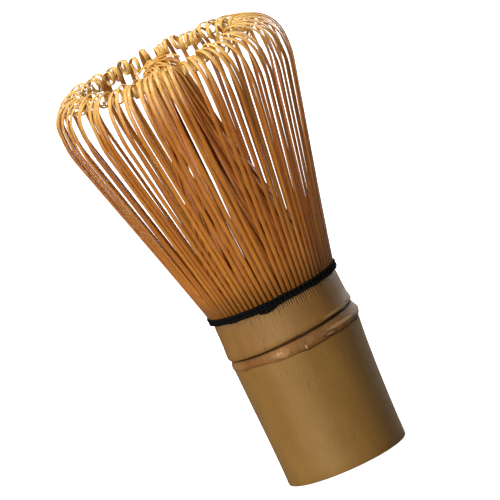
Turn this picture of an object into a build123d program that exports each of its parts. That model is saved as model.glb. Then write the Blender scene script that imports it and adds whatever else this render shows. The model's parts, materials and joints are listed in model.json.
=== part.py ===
"""A bamboo tea whisk, in millimetres: +Z up, origin at the centre of the handle's foot.

One bamboo culm makes the handle and the tines. Below the node it is a hollow handle. At the node it
carries a sheath-scar ridge outside and a thin diaphragm inside. Above the node it becomes a collar,
which is split into sixteen staves, and each stave into five outer and five inner tines. Black thread
laced round the roots holds the outer tines apart from the inner ones.

The culm grows with a slight kink at its node, so everything above the node stands on the crown plane,
which leans a little towards -X. Heights named "rise" are measured up from the crown plane's origin.
"""

from math import atan2, cos, degrees, hypot, radians, sin
import os

from build123d import *

spare = 2.0  # how much further than the finished face a rough shape runs before it is cut back

# ---- handle -------------------------------------------------------------------------------------
foot_radius = 14.45
foot_chamfer = 0.4
straight_height = 8.0  # the foot is a true cylinder up to here
handle_middle = (14.85, 18.0)  # radius and height of a point on the flare
handle_shoulder = (15.4, 30.4)  # where the flare ends, above the slant that cuts it off
bore_radius = 11.0
bore_length = 27.0

# ---- node ---------------------------------------------------------------------------------------
node_bore_radius = 10.4  # the wall is thicker at the node
node_bore_height = 28.2  # the handle's bore has narrowed to the node's by here
ridge_foot_height = 29.3
ridge_foot_slant = 1.2  # degrees
ridge_shift = 0.3  # the ridge stands out further on the +X side
ridge_foot_radius = 15.3
ridge_radius = 15.75
ridge_widest_height = 30.3
ridge_top_radius = 14.6
node_height = 33.0
groove_height = 32.6
groove_gap = 0.14  # half the height of the groove on the axis
groove_floor_slant = 2.9  # degrees, the ridge's upper face
groove_roof_slant = 3.5  # degrees, the collar's lower lip
neck_radius = 13.9
neck_rise = 1.3
diaphragm_thickness = 1.1
diaphragm_sag = 1.0
diaphragm_height = 30.4

# ---- crown: everything above the node -----------------------------------------------------------
kink = 1.5  # degrees towards -X
collar_inner_radius = 12.9
collar_lip_radius = 15.5
collar_waist = (15.22, 4.6)  # radius and rise
collar_neckline = (15.15, 7.3)
lacing_seat_radius = 14.9
lacing_seat_rise = 7.7
collar_rise = 10.3
splint_lip_radius = 15.83  # the splints' outer edge where they come out over the lacing
lip_fillet = 0.3

staves = 16
tines_per_stave = 5
tine_count = staves * tines_per_stave
tine_pitch = 360 / tine_count
stave_pitch = 360 / staves

slit_width = 0.18
long_slit = 3.7
short_slit = 2.9

# ---- outer tines: radius and rise of the centreline's corners ------------------------------------
outer_root = (15.47, 10.4)
outer_bend = (27.37, 55.6)
outer_width = 0.86
outer_root_thickness = 0.75
outer_thickness = 0.38
bend_radius = 17.0
upright_length = 1.3
shoulder_radius = 7.2
loop_radius = 1.35
loop_turn = 285
loop_thickness = 0.3

# ---- inner tines, in two layers that close into a cone -------------------------------------------
inner_root = (13.45, 10.3)
inner_front_tip = (4.75, 66.0)
inner_back_tip = (3.25, 64.5)
inner_width = 0.42
inner_root_thickness = 0.55
inner_thickness = 0.3
hook_radius = 1.25
hook_turn = 75

# ---- lacing -------------------------------------------------------------------------------------
thread_radius = 0.45
thread_clearance = 0.015
lower_round_rise = 8.36
upper_round_rise = 9.29
spreader_radius = 14.36
knot_thread_radius = 0.34
knot_angle = -100
knot_arc = 15


def slanted(height, slant):
    """A plane across the culm's axis at this height, lower towards -X by this many degrees."""
    tip = radians(slant)
    return Plane(origin=(0, 0, height), x_dir=(cos(tip), 0, sin(tip)), z_dir=(-sin(tip), 0, cos(tip)))


def radial_plane(angle):
    """The plane through the crown's axis at this angle: x runs outwards and y runs up."""
    return Plane(crown.location * Rotation(0, 0, angle) * Rotation(90, 0, 0))


def stem(root, top, root_thickness, top_thickness):
    """A straight tapered strip in the radial plane, cut level at its root and square at its top."""
    lean = atan2(top[0] - root[0], top[1] - root[1])
    across, along = cos(lean) * top_thickness / 2, sin(lean) * top_thickness / 2
    with BuildLine() as outline:
        Polyline(
            (root[0] - root_thickness / 2, root[1]),
            (root[0] + root_thickness / 2, root[1]),
            (top[0] + across, top[1] - along),
            (top[0] - across, top[1] + along),
            close=True,
        )
    make_face(outline.line)


def outer_tine_profile():
    """Stem, gentle bend to the upright, shoulder turning inwards, and the small loop at the tip."""
    run, rise = outer_bend[0] - outer_root[0], outer_bend[1] - outer_root[1]
    stem(outer_root, outer_bend, outer_root_thickness, outer_thickness)
    with BuildLine() as arch:
        bend = JernArc(outer_bend, (run, rise), bend_radius, degrees(atan2(run, rise)))
        upright = Line(bend @ 1, (bend @ 1) + Vector(0, upright_length))
        shoulder = JernArc(upright @ 1, (0, 1), shoulder_radius, 90)
    trace(arch.line, line_width=outer_thickness)
    with BuildLine() as loop:
        JernArc(shoulder @ 1, (-1, 0), loop_radius, loop_turn)
    trace(loop.line, line_width=loop_thickness)


def inner_tine_profile(tip, hooked):
    """A stem leaning in towards the crown's axis, and in the front layer a short hook over the top."""
    run, rise = tip[0] - inner_root[0], tip[1] - inner_root[1]
    stem(inner_root, tip, inner_root_thickness, inner_thickness)
    if hooked:
        with BuildLine() as hook:
            JernArc(tip, (run, rise), hook_radius, hook_turn)
        trace(hook.line, line_width=inner_thickness)


os.makedirs("parts", exist_ok=True)
crown = slanted(node_height, kink)
crown_axis = Axis(crown.origin, crown.z_dir)
ridge_foot = slanted(ridge_foot_height, ridge_foot_slant)
groove_floor = slanted(groove_height - groove_gap, groove_floor_slant)
groove_roof = slanted(groove_height + groove_gap, groove_roof_slant)

# The hollow handle, flaring a little towards the node, cut on the slant where the ridge begins. Its wall
# thickens just below the ridge.
with BuildPart() as handle:
    with BuildSketch(Plane.XZ):
        with BuildLine():
            Polyline(
                (node_bore_radius, handle_shoulder[1]),
                (node_bore_radius, node_bore_height),
                (bore_radius, bore_length),
                (bore_radius, 0),
                (foot_radius - foot_chamfer, 0),
                (foot_radius, foot_chamfer),
                (foot_radius, straight_height),
            )
            ThreePointArc((foot_radius, straight_height), handle_middle, handle_shoulder)
            Line(handle_shoulder, (node_bore_radius, handle_shoulder[1]))
        make_face()
    revolve(axis=Axis.Z)
    split(bisect_by=ridge_foot, keep=Keep.BOTTOM)
handle.part.label = "handle"
export_step(handle.part, "parts/handle.step")

# The sheath-scar ridge with the neck that carries the collar. Its ring is made too tall, then cut on the
# slants of its two faces.
with BuildPart() as node_ridge:
    with BuildSketch(Plane.XZ):
        with BuildLine():
            bulge = ThreePointArc(
                (ridge_shift + ridge_foot_radius, ridge_foot_height - spare),
                (ridge_shift + ridge_radius, ridge_widest_height),
                (ridge_shift + ridge_top_radius, node_height + spare),
            )
            Polyline(
                bulge @ 1,
                (ridge_shift, node_height + spare),
                (ridge_shift, ridge_foot_height - spare),
                bulge @ 0,
            )
        make_face()
    revolve(axis=Axis((ridge_shift, 0, 0), (0, 0, 1)))
    split(bisect_by=groove_floor, keep=Keep.BOTTOM)
    with BuildSketch(crown.offset(-spare)):
        Circle(neck_radius)
        Circle(node_bore_radius, mode=Mode.SUBTRACT)
    extrude(amount=spare + neck_rise)
    split(bisect_by=ridge_foot, keep=Keep.TOP)
    with BuildSketch(Plane.XY.offset(ridge_foot_height - spare)):
        Circle(node_bore_radius)
    extrude(amount=node_height, mode=Mode.SUBTRACT)
node_ridge.part.label = "node_ridge"
export_step(node_ridge.part, "parts/node_ridge.step")

# The thin dished wall that closes the culm at its node.
with BuildPart() as node_diaphragm:
    with BuildSketch(Plane.XZ):
        with BuildLine():
            under = ThreePointArc(
                (-node_bore_radius, diaphragm_height),
                (0, diaphragm_height - diaphragm_sag),
                (node_bore_radius, diaphragm_height),
            )
            over = ThreePointArc(
                (-node_bore_radius, diaphragm_height + diaphragm_thickness),
                (0, diaphragm_height + diaphragm_thickness - diaphragm_sag),
                (node_bore_radius, diaphragm_height + diaphragm_thickness),
            )
            Line(under @ 0, over @ 0)
            Line(under @ 1, over @ 1)
        make_face()
        split(bisect_by=Plane.YZ)
    revolve(axis=Axis.Z)
node_diaphragm.part.label = "node_diaphragm"
export_step(node_diaphragm.part, "parts/node_diaphragm.step")

# The collar: unsplit below, slit between the splints above. The lacing lies in a groove near its top.
thread_seat = lacing_seat_radius + thread_radius + thread_clearance
with BuildPart() as collar:
    with BuildSketch(radial_plane(0)):
        with BuildLine():
            Polyline(
                (collar_inner_radius, -spare),
                (collar_lip_radius, -spare),
                (collar_lip_radius, 0.8),
            )
            ThreePointArc((collar_lip_radius, 0.8), collar_waist, collar_neckline)
            hollow = CenterArc((thread_seat, upper_round_rise), thread_radius + thread_clearance, 180, -90)
            Polyline(collar_neckline, (lacing_seat_radius, lacing_seat_rise), hollow @ 0)
            Polyline(
                hollow @ 1,
                (splint_lip_radius, upper_round_rise + thread_radius),
                (splint_lip_radius, collar_rise),
                (collar_inner_radius, collar_rise),
                (collar_inner_radius, -spare),
            )
        make_face()
    revolve(axis=crown_axis)
    split(bisect_by=groove_roof, keep=Keep.TOP)
    fillet(collar.faces().sort_by(crown_axis)[0].outer_wire().edges(), lip_fillet)
    with BuildSketch(crown.offset(-2 * spare)):
        Circle(neck_radius)
    extrude(amount=2 * spare + neck_rise, mode=Mode.SUBTRACT)
    for depth, start in ((long_slit, tine_pitch / 4), (short_slit, -tine_pitch / 4)):
        with BuildSketch(crown.offset(collar_rise - depth)):
            with PolarLocations(lacing_seat_radius - 1, tine_count, start_angle=start):
                Rectangle(4, slit_width)
        extrude(amount=depth + spare, mode=Mode.SUBTRACT)
collar.part.label = "collar"
export_step(collar.part, "parts/collar.step")

# Two rounds of thread in the groove, and the round that holds the outer tines apart from the inner ones.
spreader_rise = collar_rise + thread_radius + thread_clearance
rounds = {
    "lacing_lower_round": (thread_seat, lower_round_rise),
    "lacing_upper_round": (thread_seat, upper_round_rise),
    "lacing_spreader_round": (spreader_radius, spreader_rise),
}
for name, place in rounds.items():
    with BuildPart() as lacing_round:
        with BuildSketch(radial_plane(0)):
            with Locations(place):
                Circle(thread_radius)
        revolve(axis=crown_axis)
    lacing_round.part.label = name
    export_step(lacing_round.part, f"parts/{name}.step")

# The tied-off end of the thread, a short turn just under the rounds.
knot_rise = lower_round_rise - thread_radius - knot_thread_radius - thread_clearance
with BuildPart() as lacing_knot:
    with BuildSketch(radial_plane(knot_angle - knot_arc / 2)):
        with Locations((collar_neckline[0] + knot_thread_radius + thread_clearance, knot_rise)):
            Circle(knot_thread_radius)
    revolve(axis=crown_axis, revolution_arc=knot_arc)
lacing_knot.part.label = "lacing_knot"
export_step(lacing_knot.part, "parts/lacing_knot.step")

# Sixteen staves of five outer tines, and behind each the five inner tines of the same stave.
for number in range(staves):
    first = number * stave_pitch - tine_pitch * (tines_per_stave - 1) / 2
    with BuildPart() as outer_tines:
        for tine in range(tines_per_stave):
            with BuildSketch(radial_plane(first + tine * tine_pitch)):
                outer_tine_profile()
            extrude(amount=outer_width / 2, both=True)
    outer_tines.part.label = f"outer_tines_{number + 1:02d}"
    export_step(outer_tines.part, f"parts/{outer_tines.part.label}.step")

    with BuildPart() as inner_tines:
        for tine in range(tines_per_stave):
            in_front = (number * tines_per_stave + tine) % 2 == 0
            with BuildSketch(radial_plane(first + (tine + 0.5) * tine_pitch)):
                inner_tine_profile(inner_front_tip if in_front else inner_back_tip, in_front)
            extrude(amount=inner_width / 2, both=True)
    inner_tines.part.label = f"inner_tines_{number + 1:02d}"
    export_step(inner_tines.part, f"parts/{inner_tines.part.label}.step")
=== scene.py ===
# %% [markdown]
# # A bamboo tea whisk
# A tea whisk is split out of one short length of bamboo. Below the joint of the culm it stays whole and
# is the handle. Above the joint the wall is split into splints, shaved thin, and divided by a black
# thread into a ring of curled outer tines and a cone of inner ones. This lesson builds its looks over
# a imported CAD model, which already says where every piece is and how it moves.

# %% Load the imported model
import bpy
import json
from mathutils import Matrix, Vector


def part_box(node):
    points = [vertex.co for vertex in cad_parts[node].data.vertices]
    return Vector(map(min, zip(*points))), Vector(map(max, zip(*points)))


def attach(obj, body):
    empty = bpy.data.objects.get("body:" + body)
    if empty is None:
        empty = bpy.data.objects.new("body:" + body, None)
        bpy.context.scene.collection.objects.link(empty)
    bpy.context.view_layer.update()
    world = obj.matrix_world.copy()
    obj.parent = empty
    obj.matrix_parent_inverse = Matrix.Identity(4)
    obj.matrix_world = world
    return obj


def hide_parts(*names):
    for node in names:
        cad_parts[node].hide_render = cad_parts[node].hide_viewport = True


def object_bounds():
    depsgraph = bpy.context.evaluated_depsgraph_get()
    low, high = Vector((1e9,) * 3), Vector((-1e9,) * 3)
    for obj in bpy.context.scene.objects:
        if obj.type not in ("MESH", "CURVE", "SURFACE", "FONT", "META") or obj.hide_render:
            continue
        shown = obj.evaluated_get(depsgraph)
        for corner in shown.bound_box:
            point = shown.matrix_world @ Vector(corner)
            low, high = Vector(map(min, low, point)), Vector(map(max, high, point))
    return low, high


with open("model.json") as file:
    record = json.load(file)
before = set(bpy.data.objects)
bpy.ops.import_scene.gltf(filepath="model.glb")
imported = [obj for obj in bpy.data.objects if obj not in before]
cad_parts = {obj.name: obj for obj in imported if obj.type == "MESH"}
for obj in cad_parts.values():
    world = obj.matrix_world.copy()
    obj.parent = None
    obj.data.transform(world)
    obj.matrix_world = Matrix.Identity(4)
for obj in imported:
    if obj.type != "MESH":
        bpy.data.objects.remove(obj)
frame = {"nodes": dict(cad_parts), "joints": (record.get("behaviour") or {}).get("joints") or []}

cad_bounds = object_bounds()

# %% [markdown]
# The shapes are drawn in millimetres, the size such a piece is thought about in, and scaled to metres
# when they are put in place. Chance is drawn from one seeded run of numbers, so each run of this script
# gives the same whisk.

# %% Tools and units
import json
import math
import random

import bmesh
import bpy
from mathutils import Matrix, Vector

MM = 0.001
draws = random.Random(11)
print("one unit here is", MM, "m")

# %% [markdown]
# The culm has a slight kink at its joint, so everything above it leans a little. The sixteen staves'
# joints lie on one circle across that leaning axis. Their places give the crown's centre and its
# direction, and one matrix then takes any shape drawn round an upright axis to where the crown is.

# %% Find the crown
pivots = [Vector(joint["pos_m"]) for joint in frame["joints"]]
stave_count = len(pivots)
crown_centre = sum(pivots, Vector()) / stave_count
crown_x = (pivots[0] - crown_centre).normalized()
crown_up = crown_x.cross(pivots[stave_count // 4] - crown_centre).normalized()
crown_turn = Matrix((crown_x, crown_up.cross(crown_x), crown_up)).transposed().to_4x4()
crown = Matrix.Translation(crown_centre) @ crown_turn @ Matrix.Scale(MM, 4)
pivot_radius = (pivots[0] - crown_centre).length / MM
print("crown leans", round(math.degrees(crown_up.angle(Vector((0, 0, 1)))), 2), "degrees")

# %% [markdown]
# Every finished bmesh becomes an object in the same way: its faces are turned outwards and shaded
# smooth, its object stays at the origin, it rides on a body, and it stands for one or more CAD nodes.

# %% Turn a bmesh into a piece
def make_piece(name, bm, place, material, body, nodes):
    """Adds the bmesh to the scene, taken to its place, as the piece that stands for the nodes."""
    bmesh.ops.transform(bm, matrix=place, verts=bm.verts[:])
    bmesh.ops.recalc_face_normals(bm, faces=bm.faces[:])
    for face in bm.faces:
        face.smooth = True
    mesh = bpy.data.meshes.new(name)
    bm.to_mesh(mesh)
    bm.free()
    mesh.materials.append(material)
    piece = bpy.data.objects.new(name, mesh)
    bpy.context.scene.collection.objects.link(piece)
    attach(piece, body)
    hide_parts(*nodes)
    return piece


def report(piece, node):
    """Prints a piece's size beside the size of the CAD node that it stands for, in millimetres."""
    size = Vector(piece.bound_box[6]) - Vector(piece.bound_box[0])
    low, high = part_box(node)
    print(piece.name, [round(s / MM, 2) for s in size], "CAD", [round(s / MM, 2) for s in high - low])

# %% [markdown]
# ## Finishes
# A shader is a chain of nodes. Adding one, setting its values and wiring its inputs is always the same
# work, so one short helper does all three. A value that is a socket is wired, and any other is set.

# %% A helper that adds a node
def add(tree, kind, inputs=None, **settings):
    """Adds a shader node of that kind, with its settings, and sets or wires its inputs."""
    made = tree.nodes.new("ShaderNode" + kind)
    for key, value in settings.items():
        setattr(made, key, value)
    for key, value in (inputs or {}).items():
        if isinstance(value, bpy.types.NodeSocket):
            tree.links.new(value, made.inputs[key])
        else:
            made.inputs[key].default_value = value
    return made


def paint(red, green, blue):
    """A colour as it is picked from a colour card, 0 to 255, as the linear values that shaders take."""
    def linear(value):
        value = value / 255
        return value / 12.92 if value <= 0.04045 else ((value + 0.055) / 1.055) ** 2.4
    return (linear(red), linear(green), linear(blue), 1.0)


def mixed(tree, factor, first, second, blend="MIX"):
    """The colour output of a mix of two colours."""
    return add(tree, "Mix", {0: factor, 6: first, 7: second}, data_type="RGBA", blend_type=blend).outputs[2]


def ranged(tree, value, low, high, to_low=0.0, to_high=1.0):
    """The value's share of the way from low to high, kept between to_low and to_high."""
    inputs = {"Value": value, "From Min": low, "From Max": high, "To Min": to_low, "To Max": to_high}
    return add(tree, "MapRange", inputs).outputs[0]


def maths(tree, operation, first, second=0.5):
    """The result of one sum on two values."""
    return add(tree, "Math", {0: first, 1: second}, operation=operation).outputs[0]

# %% [markdown]
# Bamboo is a bundle of straight fibres, so every bamboo surface shows fine streaks along the culm,
# broad soft changes of tone, and a few short dark flecks. That is one node group, made once. Noise that
# is stretched along its third axis draws all three. The vector comes in with the fibres along Z.

# %% The bamboo grain group
def make_grain_group():
    """Streaks, clouds, flecks and a height, from a vector in millimetres with the fibres along Z."""
    tree = bpy.data.node_groups.new("bamboo grain", "ShaderNodeTree")
    tree.interface.new_socket("Vector", in_out="INPUT", socket_type="NodeSocketVector")
    tree.interface.new_socket("Fibres", in_out="INPUT", socket_type="NodeSocketFloat")
    for name in ("Streak", "Cloud", "Fleck", "Height"):
        tree.interface.new_socket(name, in_out="OUTPUT", socket_type="NodeSocketFloat")
    entry = tree.nodes.new("NodeGroupInput")
    leaving = tree.nodes.new("NodeGroupOutput")
    vector, fibres = entry.outputs["Vector"], entry.outputs["Fibres"]
    drawn_out = add(tree, "Mapping", {"Vector": vector, "Scale": (1, 1, 0.045)}).outputs[0]
    streak = add(tree, "TexNoise", {"Vector": drawn_out, "Scale": fibres, "Detail": 4.0, "Roughness": 0.62})
    cloud_place = add(tree, "Mapping", {"Vector": vector, "Scale": (1, 1, 0.35)}).outputs[0]
    cloud = add(tree, "TexNoise", {"Vector": cloud_place, "Scale": 0.16, "Detail": 3.0})
    fleck_place = add(tree, "Mapping", {"Vector": vector, "Scale": (1, 1, 0.2)}).outputs[0]
    fleck = add(tree, "TexNoise", {"Vector": fleck_place, "Scale": 1.9, "Detail": 2.0})
    streaks = ranged(tree, streak.outputs[0], 0.3, 0.7)
    flecks = ranged(tree, fleck.outputs[0], 0.67, 0.74)
    height = maths(tree, "SUBTRACT", streaks, maths(tree, "MULTIPLY", flecks, 0.8))
    tree.links.new(streaks, leaving.inputs["Streak"])
    tree.links.new(ranged(tree, cloud.outputs[0], 0.32, 0.68), leaving.inputs["Cloud"])
    tree.links.new(flecks, leaving.inputs["Fleck"])
    tree.links.new(height, leaving.inputs["Height"])
    return tree


grain_group = make_grain_group()
print("group", grain_group.name, [item.name for item in grain_group.interface.items_tree])

# %% [markdown]
# A material starts as a Principled shader with its fixed gloss set on its own sockets, and a place in
# millimetres that follows the object. The grain group is placed in each with its own fibre size.

# %% Start a material
def start_material(name, roughness, specular=0.5, coat=0.0):
    """A new material, its node tree and its shader."""
    material = bpy.data.materials.new(name)
    material.use_nodes = True
    tree = material.node_tree
    shader = tree.nodes["Principled BSDF"]
    shader.inputs["Roughness"].default_value = roughness
    shader.inputs["Specular IOR Level"].default_value = specular
    shader.inputs["Coat Weight"].default_value = coat
    shader.inputs["Coat Roughness"].default_value = 0.25
    return material, tree, shader


def place_in_mm(tree):
    """The point on the object, in millimetres."""
    place = add(tree, "TexCoord").outputs["Object"]
    return add(tree, "Mapping", {"Vector": place, "Scale": (1 / MM,) * 3}).outputs[0]


def grain(tree, vector, fibres):
    """The grain group's outputs for a vector and a fibre size."""
    return add(tree, "Group", {"Vector": vector, "Fibres": fibres}, node_tree=grain_group).outputs


def bump(tree, shader, height, distance):
    """Wires a height to the shader's normal, with its depth in millimetres."""
    made = add(tree, "Bump", {"Height": height, "Distance": distance * MM, "Strength": 1.0})
    tree.links.new(made.outputs[0], shader.inputs["Normal"])

# %% [markdown]
# A hand-made piece also has marks in places of their own: a nick, a scuff. Painted highlights, on a
# crest or a lip, sit in places of their own too. A group that measures how far a point is from the
# middle of the mark gives each one a soft edge. The ridge and the collar both use it.

# %% The mark group
def make_mark_group():
    """A soft mask round a middle, in millimetres, that ends at its own reach along each axis."""
    tree = bpy.data.node_groups.new("mark", "ShaderNodeTree")
    for name in ("Vector", "Middle", "Reach"):
        tree.interface.new_socket(name, in_out="INPUT", socket_type="NodeSocketVector")
    tree.interface.new_socket("Mask", in_out="OUTPUT", socket_type="NodeSocketFloat")
    entry = tree.nodes.new("NodeGroupInput").outputs
    leaving = tree.nodes.new("NodeGroupOutput")
    apart = add(tree, "VectorMath", {0: entry["Vector"], 1: entry["Middle"]}, operation="SUBTRACT")
    shares = add(tree, "VectorMath", {0: apart.outputs[0], 1: entry["Reach"]}, operation="DIVIDE")
    distance = add(tree, "VectorMath", {0: shares.outputs[0]}, operation="LENGTH").outputs["Value"]
    tree.links.new(ranged(tree, distance, 1.0, 0.6), leaving.inputs["Mask"])
    return tree


mark_group = make_mark_group()
print("group", mark_group.name, [item.name for item in mark_group.interface.items_tree])


def mark(tree, place, middle, reach):
    """The mark group's mask for a mark at this middle, with this reach."""
    inputs = {"Vector": place, "Middle": middle, "Reach": reach}
    return add(tree, "Group", inputs, node_tree=mark_group).outputs["Mask"]

# %% [markdown]
# The handle keeps the culm's own skin, a smooth olive tan with a satin shine. Where the culm is cut
# across at the foot the pale wood shows, with the dark dots of its fibre bundles, and the hollow inside
# is raw. Both are masks from the place on the object: how high it is and how far from the axis.

# %% Handle skin
bore_radius = 11.0


def handle_skin():
    """Satin culm skin, with a raw hollow and a foot of cut wood."""
    material, tree, shader = start_material("handle_skin", 0.42, specular=0.4, coat=0.06)
    place = place_in_mm(tree)
    fibre = grain(tree, place, 5.0)
    skin = mixed(tree, fibre["Cloud"], paint(144, 108, 50), paint(133, 96, 42))
    skin = mixed(tree, maths(tree, "MULTIPLY", fibre["Streak"], 0.35), skin, paint(110, 78, 32))
    skin = mixed(tree, maths(tree, "MULTIPLY", fibre["Fleck"], 0.3), skin, paint(84, 56, 28))
    parts = add(tree, "SeparateXYZ", {0: place}).outputs
    flat = add(tree, "CombineXYZ", {0: parts[0], 1: parts[1]}).outputs[0]
    radius = add(tree, "VectorMath", {0: flat}, operation="LENGTH").outputs["Value"]
    raw = mixed(tree, fibre["Streak"], paint(205, 172, 118), paint(176, 138, 84))
    bundles = add(tree, "TexVoronoi", {"Vector": place, "Scale": 1.7}).outputs["Distance"]
    raw = mixed(tree, ranged(tree, bundles, 0.26, 0.16), raw, paint(120, 78, 40))
    in_hollow = ranged(tree, radius, bore_radius + 0.6, bore_radius + 0.1)
    at_foot = ranged(tree, parts[2], 0.1, 0.02)
    cut = maths(tree, "MAXIMUM", in_hollow, at_foot)
    edge = ranged(tree, parts[2], 0.8, 0.2, 0.0, 0.3)
    skin = mixed(tree, edge, skin, paint(140, 92, 44))
    tree.links.new(mixed(tree, cut, skin, raw), shader.inputs["Base Color"])
    satin = ranged(tree, fibre["Streak"], 0.0, 1.0, 0.34, 0.46)
    rough = maths(tree, "ADD", satin, maths(tree, "MULTIPLY", cut, 0.35))
    tree.links.new(rough, shader.inputs["Roughness"])
    bump(tree, shader, fibre["Height"], 0.035)
    return material


# %% [markdown]
# The ridge is the scar that the sheath leaves at each joint. It is redder than the skin, dry and a
# little torn, with pale scuffs. The scuffs are noise stretched up the culm, let through only where a
# softer noise is high. The mesh carries each point's share of the way up the ridge, which paints shade
# along the lower edge under its lip and in the groove. A scuff, a nick and the eye of a bud have their
# own places, and so has a painted highlight along the crest on the right.

# %% Ridge scar
def ridge_scar():
    """Dry reddish-brown scar with pale scuffs, painted shade in its groove and a painted highlight on its
    crest.
    """
    material, tree, shader = start_material("ridge_scar", 0.64, specular=0.25)
    place = place_in_mm(tree)
    fibre = grain(tree, place, 4.0)
    colour = mixed(tree, fibre["Cloud"], paint(148, 105, 52), paint(122, 79, 34))
    colour = mixed(tree, maths(tree, "MULTIPLY", fibre["Streak"], 0.5), colour, paint(92, 58, 32))
    tufts = add(tree, "Mapping", {"Vector": place, "Scale": (2.6, 2.6, 0.7)}).outputs[0]
    scuff = add(tree, "TexNoise", {"Vector": tufts, "Scale": 1.0, "Detail": 5.0, "Roughness": 0.7})
    scuff = scuff.outputs[0]
    patch = add(tree, "TexNoise", {"Vector": place, "Scale": 0.21, "Detail": 1.0}).outputs[0]
    where = maths(tree, "MULTIPLY", ranged(tree, patch, 0.46, 0.6), ranged(tree, scuff, 0.42, 0.66))
    colour = mixed(tree, maths(tree, "MULTIPLY", where, 0.4), colour, paint(180, 142, 98))
    rise = add(tree, "Attribute", attribute_name="rise").outputs["Fac"]
    # Painted shade: darker along the lower edge under the lip and deep in the groove under the collar.
    colour = mixed(tree, ranged(tree, rise, 0.1, 0.03, 0.0, 0.8), colour, paint(64, 38, 18))
    colour = mixed(tree, ranged(tree, rise, 0.86, 0.98, 0.0, 0.95), colour, paint(34, 20, 10))
    torn = ranged(tree, scuff, 0.46, 0.6, 0.0, 0.8)
    scuffed = maths(tree, "MULTIPLY", mark(tree, place, (-3.8, -15.5, 30.6), (1.9, 2.5, 1.2)), torn)
    nick = mark(tree, place, (1.8, -15.9, 29.9), (0.22, 2.0, 0.6))
    # Painted highlight: the crest mark pales the right side of the crest, where it faces the light.
    crest = mark(tree, place, (11.5, -11.0, 31.2), (5.5, 5.5, 0.45))
    pale = maths(tree, "MAXIMUM", scuffed, nick)
    pale = maths(tree, "MAXIMUM", pale, maths(tree, "MULTIPLY", crest, 0.6))
    colour = mixed(tree, pale, colour, paint(198, 158, 110))
    eye = (8.1, -13.7, 30.3)
    colour = mixed(tree, mark(tree, place, eye, (2.3, 3.0, 0.6)), colour, paint(66, 40, 22))
    colour = mixed(tree, mark(tree, place, eye, (1.5, 3.0, 0.3)), colour, paint(168, 124, 78))
    tree.links.new(colour, shader.inputs["Base Color"])
    tree.links.new(ranged(tree, scuff, 0.3, 0.7, 0.5, 0.75), shader.inputs["Roughness"])
    bump(tree, shader, maths(tree, "ADD", fibre["Height"], scuff), 0.09)
    return material


# %% [markdown]
# The collar has had its skin scraped, so it is duller than the handle, and its streaks and flecks show
# more. Its lower lip carries a painted highlight, pale towards one side.

# %% Scraped collar
def scraped_collar():
    """Matte scraped bamboo, with a painted highlight along one side of its lower lip."""
    material, tree, shader = start_material("scraped_collar", 0.55, specular=0.4)
    place = place_in_mm(tree)
    fibre = grain(tree, place, 4.2)
    colour = mixed(tree, fibre["Cloud"], paint(144, 106, 50), paint(131, 92, 40))
    colour = mixed(tree, maths(tree, "MULTIPLY", fibre["Streak"], 0.4), colour, paint(110, 75, 32))
    colour = mixed(tree, maths(tree, "MULTIPLY", fibre["Fleck"], 0.7), colour, paint(86, 56, 28))
    # Painted highlight: the lowest band of the lip is paled on the right, where the edge catches the light.
    lip_highlight = maths(tree, "MULTIPLY", mark(tree, place, (12.0, -9.5, 33.95), (6.5, 6.5, 0.45)), 0.55)
    colour = mixed(tree, lip_highlight, colour, paint(196, 160, 108))
    tree.links.new(colour, shader.inputs["Base Color"])
    tree.links.new(ranged(tree, fibre["Streak"], 0.0, 1.0, 0.48, 0.62), shader.inputs["Roughness"])
    bump(tree, shader, fibre["Height"], 0.05)
    return material


# %% [markdown]
# The thin wall inside the joint was never touched by a tool. It is pale, papery and a little blotched.

# %% Raw pith
def raw_pith():
    """Pale raw bamboo, blotched like paper."""
    material, tree, shader = start_material("raw_pith", 0.8, specular=0.3)
    place = place_in_mm(tree)
    blotch = add(tree, "TexNoise", {"Vector": place, "Scale": 0.35, "Detail": 6.0, "Roughness": 0.7})
    blotch = blotch.outputs[0]
    colour = mixed(tree, ranged(tree, blotch, 0.35, 0.65), paint(212, 184, 132), paint(176, 138, 86))
    tree.links.new(colour, shader.inputs["Base Color"])
    tree.links.new(ranged(tree, blotch, 0.3, 0.7, 0.7, 0.9), shader.inputs["Roughness"])
    bump(tree, shader, blotch, 0.15)
    return material


# %% [markdown]
# A tine is a long thin shaving, so its grain has to follow it round the bends. Each tine carries a UV
# map, with the distance across it in U and the distance along it in V, and two values of its own: how
# far along the tine a point is, and a tone that makes each tine a little lighter or darker than the next.
# Bamboo shaved this thin lets a little light through, which a small share of subsurface stands for. The
# paler tips are painted light too: they stand for the curls lit through and from above.

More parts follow.
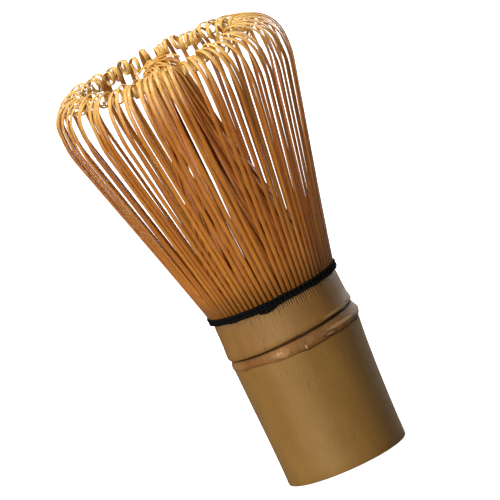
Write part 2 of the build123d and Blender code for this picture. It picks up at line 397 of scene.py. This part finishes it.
# %% Tine finishes
def tine_finish(name, body_colour, root_colour, tip_glow_colour, dark_colour, gloss, pale_from):
    """Thin bamboo shaving: a duller root, a golden length, a tip painted paler from there on for the light
    that shines through the curls, and streaks.
    """
    material, tree, shader = start_material(name, gloss, coat=0.15)
    shader.inputs["Subsurface Weight"].default_value = 0.35
    shader.inputs["Subsurface Radius"].default_value = (1.0, 0.6, 0.2)
    shader.inputs["Subsurface Scale"].default_value = 0.9 * MM
    across = add(tree, "SeparateXYZ", {0: add(tree, "UVMap", uv_map="fibres").outputs[0]}).outputs
    tone = add(tree, "Attribute", attribute_name="tone").outputs["Fac"]
    run = add(tree, "Attribute", attribute_name="run").outputs["Fac"]
    own_noise = maths(tree, "MULTIPLY", tone, 90.0)
    vector = add(tree, "CombineXYZ", {0: across[0], 1: own_noise, 2: across[1]}).outputs[0]
    fibre = grain(tree, vector, 6.0)
    colour = mixed(tree, tone, body_colour[0], body_colour[1])
    colour = mixed(tree, ranged(tree, run, 9.0, 0.0, 0.0, 0.8), colour, root_colour)
    # Painted light: the curl is paled towards the tip for the light that shines through it and onto it.
    colour = mixed(tree, ranged(tree, run, pale_from, pale_from + 14.0, 0.0, 0.9), colour, tip_glow_colour)
    colour = mixed(tree, maths(tree, "MULTIPLY", fibre["Streak"], 0.45), colour, dark_colour)
    colour = mixed(tree, maths(tree, "MULTIPLY", fibre["Fleck"], 0.5), colour, dark_colour)
    tree.links.new(colour, shader.inputs["Base Color"])
    tree.links.new(ranged(tree, fibre["Streak"], 0.0, 1.0, gloss, gloss + 0.15), shader.inputs["Roughness"])
    bump(tree, shader, fibre["Height"], 0.03)
    return material


# %% [markdown]
# The thread is black cotton with a faint blue in it. It is dull, and covered in short fibres, which a
# fine noise in the bump and a little sheen stand for.

# %% Thread finish
def black_cotton():
    """Dull black cotton with a faint blue sheen."""
    material, tree, shader = start_material("black_cotton", 0.9, specular=0.12)
    shader.inputs["Sheen Weight"].default_value = 0.02
    shader.inputs["Sheen Tint"].default_value = paint(70, 80, 130)
    place = place_in_mm(tree)
    fuzz = add(tree, "TexNoise", {"Vector": place, "Scale": 9.0, "Detail": 4.0}).outputs[0]
    colour = mixed(tree, ranged(tree, fuzz, 0.35, 0.65), paint(2, 2, 3), paint(6, 6, 10))
    tree.links.new(colour, shader.inputs["Base Color"])
    tree.links.new(ranged(tree, fuzz, 0.3, 0.7, 0.75, 0.95), shader.inputs["Roughness"])
    bump(tree, shader, fuzz, 0.05)
    return material


# %% Make the finishes
finishes = {
    "handle": handle_skin(),
    "ridge": ridge_scar(),
    "collar": scraped_collar(),
    "pith": raw_pith(),
    "outer": tine_finish("outer_tine", (paint(205, 136, 46), paint(174, 103, 29)), paint(154, 100, 42),
                         paint(246, 202, 112), paint(122, 64, 16), 0.3, 49.0),
    "inner": tine_finish("inner_tine", (paint(210, 136, 46), paint(180, 100, 30)), paint(164, 104, 44),
                         paint(246, 190, 96), paint(120, 60, 16), 0.35, 46.0),
    "thread": black_cotton(),
}
print("finishes", sorted(finishes))

# %% [markdown]
# ## The culm
# The handle, the ridge and the collar are rings. A ring is drawn as its outline on one side of the axis
# and spun round it. A last pass then moves the points a little, because no bamboo is truly round.

# %% Spin an outline round the axis
def spun(outline, steps):
    """A closed bmesh from an outline of (radius, height) points, spun round the Z axis."""
    bm = bmesh.new()
    corners = [bm.verts.new((radius, 0, height)) for radius, height in outline]
    edges = [bm.edges.new((corners[i - 1], corners[i])) for i in range(len(corners))]
    bmesh.ops.spin(bm, geom=corners + edges, axis=(0, 0, 1), cent=(0, 0, 0), angle=math.tau, steps=steps,
                   use_merge=True)
    return bm


def curved(start, middle, end, count):
    """Points along the smooth curve through three (radius, height) points, without the last."""
    points = []
    for i in range(count):
        t = i / count
        weights = ((1 - t) * (1 - 2 * t), 4 * t * (1 - t), t * (2 * t - 1))
        points.append(tuple(sum(w * p[k] for w, p in zip(weights, (start, middle, end))) for k in (0, 1)))
    return points


def wave(angle, *terms):
    """A sum of sines round the culm, from (waves, size, shift) terms."""
    return sum(size * math.sin(waves * angle + shift) for waves, size, shift in terms)

# %% [markdown]
# The handle swells from its foot to the ridge. The foot's edge is eased, and the ring is a hair out of
# round. Its top runs on a little inside the ridge, so that no gap shows where the two meet.

# %% Handle
foot_radius = 14.45
handle_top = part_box("handle")[1].z / MM
node_bore_radius = 10.4


def handle_ring():
    """The hollow handle."""
    outline = [(node_bore_radius, handle_top), (node_bore_radius, 28.2), (bore_radius, 27.0)]
    outline += [(bore_radius, 0.25), (bore_radius + 0.25, 0.0)]
    outline += curved((foot_radius - 0.3, 0.0), (foot_radius - 0.08, 0.08), (foot_radius, 0.32), 4)
    outline += [(foot_radius, 0.32), (foot_radius, 2.5), (foot_radius + 0.02, 5.0)]
    outline += [(foot_radius + 0.09, 8.0)]
    outline += curved((foot_radius + 0.15, 10.5), (14.95, 20.5), (15.4, handle_top - 0.5), 9)
    outline += [(15.4, handle_top - 0.5), (15.42, handle_top - 0.2), (15.42, handle_top - 0.14)]
    outline += [(15.4, handle_top - 0.1), (15.0, handle_top)]
    bm = spun(outline, 128)
    for vert in bm.verts:
        angle = math.atan2(vert.co.y, vert.co.x)
        grow_by = 1 + wave(angle, (2, 0.0025, 0.6), (3, 0.0015, 2.1))
        if vert.co.z > 0.6:
            vert.co.x *= grow_by
            vert.co.y *= grow_by
        vert.co.x += 0.2 * max(0.0, (vert.co.z - 17) / 12) ** 2
    return bm


handle = make_piece("handle_culm", handle_ring(), Matrix.Scale(MM, 4), finishes["handle"],
                    "handle_and_core", ["handle"])
report(handle, "handle")

# %% [markdown]
# The ridge stands a little proud of the handle, most of all on the right, and its lower edge wanders.
# Its upper face slants, which leaves the groove under the collar wider on one side.

# %% Ridge
neck_radius, neck_top = 13.9, 34.2
foot_slant, groove_slant = math.radians(1.2), math.radians(2.9)
ridge_shift = 0.3


def ridge_ring():
    """The scar ridge, with the neck that carries the collar."""
    foot, top = 29.3, 32.46
    outline = [(node_bore_radius, neck_top), (node_bore_radius, foot + 0.3), (14.4, foot + 0.3)]
    outline += [(15.0, foot - 0.12), (15.3, foot - 0.1)]
    profile = ((0.06, 15.48), (0.16, 15.62), (0.28, 15.7), (0.4, 15.69), (0.52, 15.6), (0.64, 15.48),
               (0.76, 15.36), (0.87, 15.25), (0.95, 15.14), (1.0, 14.9))
    outline += [(radius, foot + share * (top - foot)) for share, radius in profile]
    outline += [(14.6, top - 0.35), (neck_radius, top - 0.6), (neck_radius, neck_top)]
    bm = spun(outline, 200)
    rise = bm.verts.layers.float.new("rise")
    for vert in bm.verts:
        angle = math.atan2(vert.co.y, vert.co.x)
        radius = math.hypot(vert.co.x, vert.co.y)
        outer = max(0.0, min(1.0, (radius - 14.0) / 1.4))
        upper = max(0.0, min(1.0, (vert.co.z - foot) / (top - foot)))
        vert[rise] = upper
        crest = math.exp(-((upper - 0.3) / 0.3) ** 2)
        edge_wave = wave(angle, (2, 0.14, 0.9), (5, 0.12, 0.3), (11, 0.07, 1.4), (23, 0.035, 0.2),
                         (41, 0.02, 1.0))
        crest_wave = wave(angle, (3, 0.12, 1.0), (7, 0.1, 0.2), (13, 0.06, 2.2))
        slant = math.tan(foot_slant) * (1 - upper) + math.tan(groove_slant) * upper
        vert.co.z += slant * vert.co.x + outer * (edge_wave * (1 - upper) + 0.6 * crest * crest_wave)
        right = max(0.0, math.cos(angle + 0.2))
        swell = outer * crest * (0.25 * right + wave(angle, (9, 0.05, 0.0), (17, 0.035, 1.1)))
        radius = max(node_bore_radius, radius + swell)
        vert.co.x, vert.co.y = radius * math.cos(angle) + ridge_shift * outer, radius * math.sin(angle)
    return bm


ridge = make_piece("ridge_ring", ridge_ring(), Matrix.Scale(MM, 4), finishes["ridge"], "handle_and_core",
                   ["node_ridge"])
report(ridge, "node_ridge")

# %% [markdown]
# The collar is slit from its top into 160 splints, one slit every two and a quarter degrees. It is spun
# with four columns of points to a splint. Where the slit runs, one column in four is pushed inwards and
# the two beside it are drawn towards it, which cuts a narrow groove with a pointed end. Long and short
# slits alternate, and each ends at its own height.

# %% Collar
splint_count = 160
slit_depth = 0.85
collar_low = -10.63


def collar_ring():
    """The collar, in the crown's own upright place, slit along its top."""
    outline = [(13.0, -0.7), (13.0, collar_low), (15.15, collar_low), (15.4, collar_low + 0.06)]
    outline += [(15.52, collar_low + 0.3), (15.48, collar_low + 1.2), (15.32, collar_low + 2.6)]
    outline += [(15.24, -6.2), (15.22, -5.2), (15.21, -4.6), (15.2, -4.2), (15.19, -3.8), (15.17, -3.4)]
    outline += [(15.12, -3.0), (14.95, -2.6), (14.9, -1.6), (14.9, -0.9), (14.7, -0.7)]
    bm = spun(outline, splint_count * 4)
    ends = [draws.uniform(-4.5, -3.4) if number % 2 else draws.uniform(-3.5, -2.9)
            for number in range(splint_count)]
    pitch = math.tau / splint_count
    for vert in bm.verts:
        angle = math.atan2(vert.co.y, vert.co.x)
        radius = math.hypot(vert.co.x, vert.co.y)
        number = round(angle / pitch - 0.5)
        offset = angle - (number + 0.5) * pitch
        end = ends[number % splint_count]
        if radius > 14.0 and vert.co.z > end:
            if abs(offset) < 0.1 * pitch:
                radius -= slit_depth * min(1.0, (vert.co.z - end) / 1.2 + 0.3)
            elif abs(offset) < 0.3 * pitch:
                angle -= offset * 0.25
        low_share = max(0.0, 1 - (vert.co.z - collar_low) / 2.5)
        lip = 0.012 * low_share * max(0.0, math.cos(angle - 0.1))
        radius *= 1 + wave(angle, (2, 0.002, 2.0), (5, 0.001, 0.5)) + (lip if radius > 14.5 else 0.0)
        drop = math.tan(math.radians(2.0)) * radius * math.cos(angle)
        vert.co.z += low_share * (drop + wave(angle, (3, 0.05, 0.4), (8, 0.035, 2.0), (19, 0.015, 1.0)))
        vert.co.x, vert.co.y = radius * math.cos(angle), radius * math.sin(angle)
    return bm


collar = make_piece("collar_band", collar_ring(), crown, finishes["collar"], "handle_and_core",
                    ["collar"])
report(collar, "collar")

# %% [markdown]
# The thin wall inside the joint keeps its CAD shape and only needs its finish.

# %% Diaphragm
diaphragm = frame["nodes"]["node_diaphragm"]
diaphragm.data.materials.clear()
diaphragm.data.materials.append(finishes["pith"])
print("diaphragm faces", len(diaphragm.data.polygons))

# %% [markdown]
# ## The tines
# A tine is one long strip. It could be a curve with a flat bevel, but a strip that is extruded a step at
# a time can be bent, thinned and narrowed as it grows, the way it is shaved and curled. It is drawn in
# an upright plane, X outwards and Y across the strip, and each step extrudes its end face.

# %% Start a strip and grow it
def start_strip(width, thickness, place, tone):
    """A bmesh with one flat end face with eased corners, thickness along X and width along Y."""
    bm = bmesh.new()
    bm.verts.layers.float.new("run")
    bm.verts.layers.float.new("tone")
    square = bmesh.ops.create_grid(bm, x_segments=1, y_segments=1, size=0.5)["verts"]
    bmesh.ops.scale(bm, vec=(thickness, width, 1), verts=square)
    bmesh.ops.bevel(bm, geom=square, offset=0.28 * min(width, thickness), segments=1, profile=0.5,
                    affect="VERTICES", material=-1)
    bmesh.ops.translate(bm, vec=place, verts=bm.verts[:])
    for vert in bm.verts:
        vert[bm.verts.layers.float["tone"]] = tone
    return bm, bm.faces[:][0]


def grow(bm, end, heading, length, steps=1, turn=0.0, axis=Vector((0, -1, 0)), thin=1.0, narrow=1.0,
         aside=0.0):
    """Extrudes the end face along its heading, turning it about the axis and scaling its section.

    The first step keeps the lone face as the strip's root. Later ones use up the face, so that none is
    left inside.
    """
    run = bm.verts.layers.float["run"]
    half_turn = Matrix.Rotation(turn / steps / 2, 3, axis)
    section = (thin ** (1 / steps), narrow ** (1 / steps), thin ** (1 / steps))
    for _ in range(steps):
        if len(bm.faces) == 1:
            new = bmesh.ops.extrude_face_region(bm, geom=[end])["geom"]
            end = next(part for part in new if isinstance(part, bmesh.types.BMFace))
        else:
            end = bmesh.ops.extrude_discrete_faces(bm, faces=[end])["faces"][0]
        middle = end.calc_center_median()
        bmesh.ops.rotate(bm, verts=end.verts, cent=middle, matrix=half_turn @ half_turn)
        bmesh.ops.scale(bm, verts=end.verts, vec=section, space=Matrix.Translation(-middle))
        heading = half_turn @ heading
        move = heading * (length / steps) + Vector((0, aside / steps, 0))
        bmesh.ops.translate(bm, verts=end.verts, vec=move)
        heading = half_turn @ heading
        for vert in end.verts:
            vert[run] += length / steps
    return end, heading


def map_fibres(bm):
    """Gives the strip its UV map: across it in U and along it in V, in millimetres."""
    run = bm.verts.layers.float["run"]
    fibres = bm.loops.layers.uv.new("fibres")
    for face in bm.faces:
        for loop in face.loops:
            loop[fibres].uv = (loop.vert.co.y + 0.4 * loop.vert.co.x, loop.vert[run])

# %% [markdown]
# An outer tine leans out from the thread, bends upright, turns in over a wide shoulder and ends in a
# small curl, bent by hand over heat. No two are alike: the lean, the bends, the curl and a slight
# sideways set are drawn for each. A curl at a stave's edge is set towards that stave's own middle, so
# that it keeps clear of the next stave.

# %% Outer tines
tine_pitch = math.tau / 80
outer_lean = math.radians(14.9)
outer_root_radius = 15.22
stem = 46.6
rise_past_stem = 13.6


def outer_tine(angle, side):
    """One outer tine at this angle round the crown, with its curl set to that side."""
    bm, end = start_strip(1.0, 0.85, (outer_root_radius, 0, -0.5), draws.random())
    heading = Matrix.Rotation(outer_lean, 3, "Y") @ Vector((0, 0, 1))
    end, heading = grow(bm, end, heading, 0.36 * stem, steps=3, thin=0.52)
    end, heading = grow(bm, end, heading, 0.64 * stem, steps=4, thin=0.9, narrow=0.97)
    bend_radius = draws.uniform(14.0, 20.0)
    end, heading = grow(bm, end, heading, bend_radius * outer_lean, steps=3, turn=outer_lean)
    shoulder = 6.3 + 0.9 * math.cos(angle) + draws.uniform(-0.7, 0.7)
    rest = rise_past_stem - bend_radius * math.sin(outer_lean) - shoulder
    rest += draws.uniform(-0.6, 0.5) + 0.35 * math.sin(angle)
    end, heading = grow(bm, end, heading, max(0.3, rest))
    shoulder_turn = math.radians(draws.uniform(84, 96))
    end, heading = grow(bm, end, heading, shoulder * shoulder_turn, steps=8, turn=shoulder_turn, thin=0.8,
                        narrow=0.92)
    curl = draws.uniform(1.35, 1.8)
    curl_turn = math.radians(draws.uniform(255, 330))
    aside = side * draws.uniform(0.35, 0.85)
    end, heading = grow(bm, end, heading, curl * curl_turn * 0.8, steps=11, turn=curl_turn * 0.8, thin=0.9,
                        aside=aside)
    end, heading = grow(bm, end, heading, curl * curl_turn * 0.2, steps=3, turn=curl_turn * 0.2, thin=0.7,
                        narrow=0.6, aside=0.2 * aside)
    map_fibres(bm)
    root = Vector((pivot_radius, 0, 0))
    sway = Matrix.Rotation(math.radians(draws.gauss(0, 0.35)), 3, "X")
    lean = Matrix.Rotation(math.radians(draws.gauss(0, 0.3) - 0.2), 3, "Y")
    twist = Matrix.Rotation(math.radians(draws.gauss(0, 3.0)), 3, "Z")
    bmesh.ops.rotate(bm, verts=bm.verts[:], cent=root, matrix=sway @ lean @ twist)
    bmesh.ops.rotate(bm, verts=bm.verts[:], cent=(0, 0, 0), matrix=Matrix.Rotation(angle, 3, "Z"))
    return bm


def gathered(strips):
    """One bmesh that holds all the strips."""
    together = bmesh.new()
    for strip in strips:
        carrier = bpy.data.meshes.new("carrier")
        strip.to_mesh(carrier)
        strip.free()
        together.from_mesh(carrier)
        bpy.data.meshes.remove(carrier)
    return together


for number in range(stave_count):
    first = (number * 5 - 1.75) * tine_pitch
    sides = (1, draws.choice((-1, 1)), draws.choice((-1, 1)), draws.choice((-1, 1)), -1)
    strips = gathered([outer_tine(first + tine * tine_pitch, side) for tine, side in enumerate(sides)])
    node = f"outer_tines_{number + 1:02d}"
    body = f"stave_{number + 1:02d}"
    stave = make_piece(f"curled_tines_{number + 1:02d}", strips, crown, finishes["outer"], body,
                       [node])
report(stave, node)

# %% [markdown]
# The inner tines taper more. They lean in from their roots and close into a cone, and their tips curl
# over each other in a dome, combed to one side by use. The whole cone leans a little to the left.

# %% Inner tines
inner_root_radius = 13.3
cone_lean = math.radians(-0.9)


def inner_tine(angle, long):
    """One inner tine at this angle round the crown, a long one that lies outside or a short one inside."""
    depth = draws.gauss(0, 0.22) + (0.2 if long else -0.2)
    bm, end = start_strip(1.02, 0.62, (inner_root_radius + depth, 0, -0.6), draws.random())
    heading = Matrix.Rotation(math.radians(-11.2 - 0.5 * depth), 3, "Y") @ Vector((0, 0, 1))
    end, heading = grow(bm, end, heading, 14, steps=3, thin=0.75, narrow=0.9)
    length = 26 + draws.uniform(-1.0, 1.0)
    end, heading = grow(bm, end, heading, length, steps=4, turn=math.radians(-2.5), thin=0.85, narrow=0.85)
    length = (13.8 if long else 12.6) + draws.uniform(-0.8, 0.8)
    end, heading = grow(bm, end, heading, length, steps=2, turn=math.radians(-2.5), narrow=0.85)
    inwards = Vector((-1, 0, 0)) + Matrix.Rotation(-angle, 3, "Z") @ Vector((-0.25, 0.15, 0))
    axis = heading.cross(inwards + Vector((0, draws.gauss(0, 0.12), 0))).normalized()
    curl = draws.uniform(4.6, 5.6) if long else draws.uniform(3.8, 4.8)
    curl_turn = math.radians(draws.uniform(100, 128))
    end, heading = grow(bm, end, heading, curl * curl_turn, steps=8, turn=curl_turn, axis=axis, thin=0.8,
                        narrow=0.7)
    map_fibres(bm)
    root = Vector((inner_root_radius, 0, 0))
    sway = Matrix.Rotation(math.radians(draws.gauss(0, 0.5)), 3, "X")
    twist = Matrix.Rotation(math.radians(draws.gauss(0, 9.0)), 3, "Z")
    bmesh.ops.rotate(bm, verts=bm.verts[:], cent=root, matrix=sway @ twist)
    bmesh.ops.rotate(bm, verts=bm.verts[:], cent=(0, 0, 0), matrix=Matrix.Rotation(angle, 3, "Z"))
    bmesh.ops.rotate(bm, verts=bm.verts[:], cent=(0, 0, 0), matrix=Matrix.Rotation(cone_lean, 3, "Y"))
    return bm


for number in range(stave_count):
    first = (number * 5 - 1.25) * tine_pitch
    strips = gathered([inner_tine(first + tine * tine_pitch, (number * 5 + tine) % 2 == 0)
                       for tine in range(5)])
    node = f"inner_tines_{number + 1:02d}"
    core = make_piece(f"cone_tines_{number + 1:02d}", strips, crown, finishes["inner"], "handle_and_core",
                      [node])
report(core, node)

# %% [markdown]
# ## The lacing
# The thread is three plies twisted together. Its section is a ring of twelve points pulled into three
# lobes, carried round the crown step by step and turned about its own middle as it goes. The number of
# turns is whole, so the last ring meets the first.

# %% Twisted thread
def three_lobes(bm, radius):
    """A ring of edges in the XZ plane, three lobes round the origin."""
    ring = bmesh.ops.create_circle(bm, segments=12, radius=radius)["verts"]
    bmesh.ops.rotate(bm, verts=ring, cent=(0, 0, 0), matrix=Matrix.Rotation(math.pi / 2, 3, "X"))
    for vert in ring:
        angle = math.atan2(vert.co.z, vert.co.x)
        vert.co *= 0.9 + 0.1 * math.cos(3 * angle)
    return bm.edges[:]


def thread_round(radius, height, wire, steps=640, turns=32, arc=math.tau):
    """A round of twisted thread about the Z axis, closed if it goes all the way round."""
    bm = bmesh.new()
    ring = three_lobes(bm, wire)
    bmesh.ops.translate(bm, verts=bm.verts[:], vec=(radius, 0, height))
    step, twist = arc / steps, math.tau * turns / steps
    turned = Matrix.Rotation(step, 3, "Z")
    middle, along = Vector((radius, 0, height)), Vector((0, 1, 0))
    for _ in range(steps):
        new = bmesh.ops.extrude_edge_only(bm, edges=ring)["geom"]
        ring = [part for part in new if isinstance(part, bmesh.types.BMEdge)]
        verts = [part for part in new if isinstance(part, bmesh.types.BMVert)]
        bmesh.ops.rotate(bm, verts=verts, cent=(0, 0, 0), matrix=turned)
        middle, along = turned @ middle, turned @ along
        bmesh.ops.rotate(bm, verts=verts, cent=middle, matrix=Matrix.Rotation(twist, 3, along))
    bmesh.ops.remove_doubles(bm, verts=bm.verts[:], dist=0.001)
    return bm

# %% [markdown]
# Two rounds lie outside the roots and one between the outer tines and the cone. A thread that is pulled
# tight over eighty splints sinks between them, so each round is pushed in a little eighty times.

# %% Lay the rounds
thread_radius = 0.52
rounds = {
    "lacing_lower_round": (15.4, -1.74, 0.1),
    "lacing_upper_round": (15.4, -0.92, 0.14),
    "lacing_spreader_round": (14.33, 0.34, 0.05),
}
for phase, (node, (radius, height, sink)) in enumerate(rounds.items()):
    bm = thread_round(radius, height, thread_radius)
    for vert in bm.verts:
        angle = math.atan2(vert.co.y, vert.co.x)
        shift = 1 + sink * math.cos(80 * angle) / radius
        vert.co.x *= shift
        vert.co.y *= shift
        vert.co.z += wave(angle, (4, 0.06, phase), (9, 0.04, 2.0 * phase), (17, 0.05, 0.4), (80, 0.05, 0.8))
    lacing = make_piece(f"thread_{phase + 1}", bm, crown, finishes["thread"], "handle_and_core",
                        [node])
    report(lacing, node)

# %% [markdown]
# The thread's end is tucked in at the front, left of the middle, where it makes a small lump under the
# two rounds.

# %% Knot
knot_angle = math.radians(-100)
knot_arc = math.radians(15)
bm = thread_round(15.4, -2.5, 0.36, steps=40, turns=2, arc=knot_arc)
for vert in bm.verts:
    share = math.atan2(vert.co.y, vert.co.x) / knot_arc
    vert.co.z -= 0.38 * math.sin(math.pi * share) - 0.25
to_front = Matrix.Rotation(knot_angle - knot_arc / 2, 3, "Z")
bmesh.ops.rotate(bm, verts=bm.verts[:], cent=(0, 0, 0), matrix=to_front)
bmesh.ops.holes_fill(bm, edges=bm.edges[:])
knot = make_piece("thread_knot", bm, crown, finishes["thread"], "handle_and_core",
                  ["lacing_knot"])
report(knot, "lacing_knot")

# %% [markdown]
# ## The stage
# A pale floor, one soft key light from the front left, a weaker one from above, and one from behind the
# right side that draws the bright line along that edge.

# %% Floor and world
def make_floor():
    """A wide pale floor that stays pale in the camera's eye without lighting the whisk from below."""
    bm = bmesh.new()
    bmesh.ops.create_grid(bm, x_segments=1, y_segments=1, size=12.0)
    mesh = bpy.data.meshes.new("floor")
    bm.to_mesh(mesh)
    bm.free()
    floor = bpy.data.objects.new("floor", mesh)
    floor.location.z = -0.0001
    bpy.context.scene.collection.objects.link(floor)
    material, tree, shader = start_material("pale_floor", 0.9, specular=0.0)
    shader.inputs["Base Color"].default_value = (0.9, 0.9, 0.9, 1)
    shader.inputs["Emission Color"].default_value = (1, 1, 1, 1)
    seen = add(tree, "LightPath").outputs["Is Camera Ray"]
    tree.links.new(maths(tree, "MULTIPLY", seen, 0.8), shader.inputs["Emission Strength"])
    pale = mixed(tree, seen, (0.16, 0.15, 0.14, 1), (0.9, 0.9, 0.9, 1))
    tree.links.new(pale, shader.inputs["Base Color"])
    mesh.materials.append(material)
    return floor


make_floor()
world = bpy.data.worlds.new("studio")
bpy.context.scene.world = world
world.use_nodes = True
world.node_tree.nodes["Background"].inputs["Color"].default_value = (1, 1, 1, 1)
world.node_tree.nodes["Background"].inputs["Strength"].default_value = 0.16

# %% Lights
low, high = cad_bounds
centre = (low + high) / 2


def soft_light(name, place, size, watts, colour=(1, 1, 1)):
    """A square soft light that faces the whisk's middle."""
    data = bpy.data.lights.new(name, "AREA")
    data.shape, data.size, data.energy, data.color = "SQUARE", size, watts, colour
    light = bpy.data.objects.new(name, data)
    light.location = centre + Vector(place)
    light.rotation_euler = Vector(place).to_track_quat("Z", "Y").to_euler()
    bpy.context.scene.collection.objects.link(light)
    return light


soft_light("key", (-0.55, -0.9, 0.22), 0.6, 12.6, (1.0, 0.97, 0.91))
soft_light("top", (-0.2, -0.1, 0.9), 0.6, 9.0)
soft_light("edge", (0.55, 0.8, 0.15), 0.6, 8.0)

# %% [markdown]
# The camera looks from the front and a little above through a long lens, and is rolled so that the whisk
# leans to the upper left.

# %% Camera
elevation = math.radians(8.2)
roll = math.radians(24.0)
frame_width = 0.113
aim = Vector((-0.0009, 0, 0.0529))
lens, sensor = 478.0, 36.0
back = Vector((0, -math.cos(elevation), math.sin(elevation)))
camera_data = bpy.data.cameras.new("camera")
camera_data.lens, camera_data.sensor_width = lens, sensor
camera = bpy.data.objects.new("camera", camera_data)
camera.location = aim + back * (frame_width * lens / sensor)
camera.rotation_mode = "QUATERNION"
camera.rotation_quaternion = back.to_track_quat("Z", "Y") @ Matrix.Rotation(-roll, 3, "Z").to_quaternion()
bpy.context.scene.collection.objects.link(camera)
bpy.context.scene.camera = camera
bpy.context.scene.view_settings.view_transform = "Standard"
